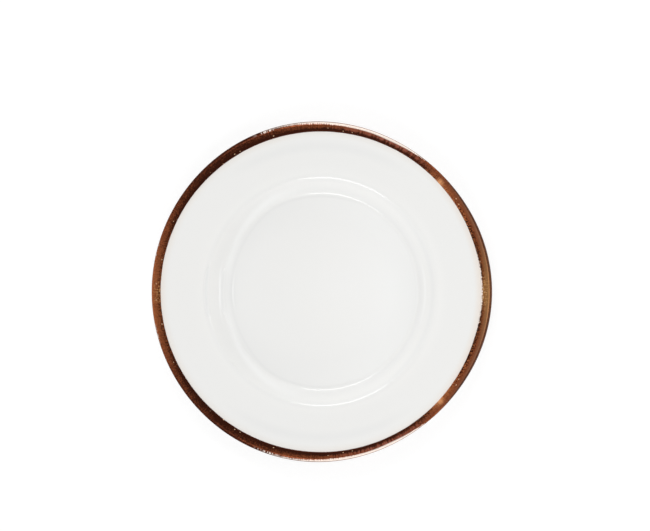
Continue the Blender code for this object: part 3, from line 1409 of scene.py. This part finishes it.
@dataclass
class LustreBand(TurnedPiece):
    """The copper lustre band over the lip, with edges drawn by hand."""

    NAME = "lustre_band"
    NODE = "rim_band"
    SLOT = Slot.COPPER_LUSTRE
    section: PlateSection
    steps: int = 720
    wander: Wander = Wander(0.00022, 14.0, 5.0)
    face_width: float = 0.0077
    back_width: float = 0.0050
    bed: float = 0.0001
    feather: float = 0.0010
    fineness: float = 5.0
    hidden_share: float = 0.3
    edge_reach: float = 0.0018
    edge_rise: float = 0.16
    back_depth: float = 0.75
    face_edge: float = field(init=False)
    back_edge: float = field(init=False)

    def __post_init__(self) -> None:
        """Works out the radii of the two painted edges."""
        self.face_edge = self.section.radius - self.face_width
        self.back_edge = self.section.radius - self.back_width

    def points(self) -> list[Point]:
        """The band from its edge on the face round the lip to its edge on the back, and back along its bed.

        Returns:
            The points.
        """
        section = self.section
        seat = [
            Corner(self.face_edge, height_on(section.face[:4], self.face_edge)),
            section.face[3],
            section.face[4],
            Corner(self.back_edge, height_on(section.back, self.back_edge)),
        ]
        fine = section.spacing / self.fineness
        bed = even_inset(seat, self.bed)
        hidden = rounded(bed, section.spacing, self.hidden_share)[::-1]
        outer = rounded(even_inset(seat, -section.coats), fine)
        return self.feathered(outer, rounded(bed, fine)) + hidden[1:]

    def feathered(self, outer: list[Point], bed: list[Point]) -> list[Point]:
        """Thins the band down to its bed over its last stretch on both sides.

        Args:
            outer: points of its outside.
            bed: points of its bed, one for each outside point.

        Returns:
            The thinned outside.
        """
        out = []
        for top, low in zip(outer, bed):
            away = min(math.dist(top, outer[0]), math.dist(top, outer[-1]))
            share = min(away / self.feather, 1.0)
            out.append(between(low, top, math.sqrt(1.0 - (1.0 - share) ** 2)))
        return out

    def swing(self, point: Point) -> Point:
        """Share of the wander of the nearer painted edge that a point follows.

        Args:
            point: a point of the band's section.

        Returns:
            The share in radius and height.
        """
        on_face = point[1] > self.section.height - self.section.sheet * self.back_depth
        edge = self.face_edge if on_face else self.back_edge
        share = clamped(1.0 - (point[0] - edge) / self.edge_reach)
        return share, share * self.edge_rise

    def dress(self) -> bpy.types.Material:
        """The copper lustre."""
        return CopperLustre(self.face_edge, self.section.radius, self.section.lip_height()).material()


# Studio


@dataclass(frozen=True)
class SoftLamp:
    """A soft rectangular lamp that faces the plate."""

    name: str
    bearing: float
    elevation: float
    distance: float
    width: float
    length: float
    power: float

    def hang(self) -> None:
        """Adds the lamp, turned to the middle of the plate."""
        data = bpy.data.lights.new(self.name, "AREA")
        data.shape = "RECTANGLE"
        data.size = self.width
        data.size_y = self.length
        data.energy = self.power
        lamp = linked(self.name, data)
        turn, rise = math.radians(self.bearing), math.radians(self.elevation)
        flat = math.cos(rise)
        lamp.location = Vector((flat * math.cos(turn), flat * math.sin(turn), math.sin(rise))) * self.distance
        lamp.rotation_euler = (-lamp.location).to_track_quat("-Z", "Y").to_euler()
        lamp.visible_camera = False


@dataclass
class Studio:
    """White table, pale room, soft lamps and the camera straight above the plate."""

    middle: Vector
    rim_height: float
    plate_radius: float
    floor_rings: tuple[float, ...] = (0.5, 2.0, 6.0)
    floor_steps: int = 96
    frame_width: int = 650
    frame_height: int = 531
    plate_px: float = 170.0
    plate_centre_px: tuple[float, float] = (320.9, 291.8)
    lens: float = 100.0
    sensor: float = 36.0
    sight: float = 50.0
    wall_light: float = 1.0
    ceiling_light: float = 0.51
    ceiling: Ease = Ease(0.15, 0.60)
    left_lean: float = 0.34

    def build(self) -> None:
        """Adds everything round the plate."""
        self.lay_floor()
        self.paint_room()
        for lamp in self.lamps():
            lamp.hang()
        self.set_camera()
        bpy.context.scene.view_settings.view_transform = "Standard"

    def lamps(self) -> list[SoftLamp]:
        """The soft lamps, in mirrored pairs across the X axis and one at +X.

        Returns:
            The lamps.
        """
        found = []
        for name, side in (("far", 1.0), ("near", -1.0)):
            high = {"elevation": 48.0, "distance": 1.5, "width": 0.82, "length": 0.44, "power": 5.3}
            low = {"elevation": 10.0, "distance": 1.6, "width": 1.2, "length": 0.14, "power": 6.0}
            found.append(SoftLamp(f"strip_{name}", bearing=102.0 * side, **high))
            found.append(SoftLamp(f"low_strip_{name}", bearing=72.0 * side, **low))
        right = {"elevation": 48.0, "distance": 0.9, "width": 0.32, "length": 0.09, "power": 0.75}
        return found + [SoftLamp("right_strip", bearing=0.0, **right)]

    def lay_floor(self) -> None:
        """Lays the table top, a wide round sheet made in rings."""
        steps = self.floor_steps
        turns = [math.tau * step / steps for step in range(steps)]
        points = [(0.0, 0.0, 0.0)]
        for r in self.floor_rings:
            points += [(r * math.cos(turn), r * math.sin(turn), 0.0) for turn in turns]
        faces = [(0, step + 1, (step + 1) % steps + 1) for step in range(steps)]
        for ring in range(len(self.floor_rings) - 1):
            for step in range(steps):
                here = ring * steps + step + 1
                beside = ring * steps + (step + 1) % steps + 1
                faces.append((here, here + steps, beside + steps, beside))
        mesh = bpy.data.meshes.new("table_top")
        mesh.from_pydata(points, [], faces)
        mesh.materials.append(PaleFloor().material())
        linked("table_top", mesh)

    def paint_room(self) -> None:
        """Gives the room white walls and a dimmer ceiling, with a little more light from the left."""
        world = bpy.data.worlds.new("pale_room")
        world.use_nodes = True
        sheet = NodeSheet(world.node_tree)
        way = sheet.node("ShaderNodeTexCoord", {}, {}, "Generated")
        up = sheet.node("ShaderNodeSeparateXYZ", {}, {"Vector": way}, "Z")
        ceiling = self.ceiling.of(up)
        lean = up.beside("X") * self.left_lean * (1.0 - sheet.seen_rays() * (1.0 - ceiling))
        light = (self.wall_light + ceiling * (self.ceiling_light - self.wall_light)) * (1.0 - lean)
        glow = sheet.node("ShaderNodeBackground", {}, {"Color": (1.0, 1.0, 1.0, 1.0), "Strength": light})
        sheet.node("ShaderNodeOutputWorld", {}, {"Surface": glow})
        bpy.context.scene.world = world

    def set_camera(self) -> None:
        """Hangs the camera straight above, so that the plate falls on its place in the picture."""
        per_px = self.plate_radius / self.plate_px
        reach = self.lens * self.frame_width * per_px / self.sensor
        data = bpy.data.cameras.new("camera")
        data.lens = self.lens
        data.sensor_width = self.sensor
        data.clip_end = self.sight
        camera = linked("camera", data)
        across = (self.frame_width / 2 - self.plate_centre_px[0]) * per_px
        along = (self.plate_centre_px[1] - self.frame_height / 2) * per_px
        camera.location = (self.middle.x + across, self.middle.y + along, self.rim_height + reach)
        bpy.context.scene.camera = camera


def main() -> None:
    """Builds the plate's pieces in the order they are made, then the studio."""
    logging.basicConfig(level=logging.INFO, format="%(message)s")
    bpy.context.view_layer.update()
    low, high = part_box("rim_band")
    section = PlateSection()
    hem = GlazeHem()
    lathe = Lathe()
    glaze = WhiteGlaze().material()
    coats = [GlazeCoat(section, hem, glaze), BaseGlaze(section, hem, glaze)]
    for part in [ClayBody(section), *coats, LustreBand(section)]:
        piece = part.build(lathe)
        piece.data.calc_loop_triangles()
        LOG.info("%s stands for %s, %d triangles", piece.name, part.NODE, len(piece.data.loop_triangles))
    middle = (Vector(low) + Vector(high)) / 2
    Studio(middle, rim_height=section.height, plate_radius=section.radius).build()


if __name__ == "__main__":
    main()
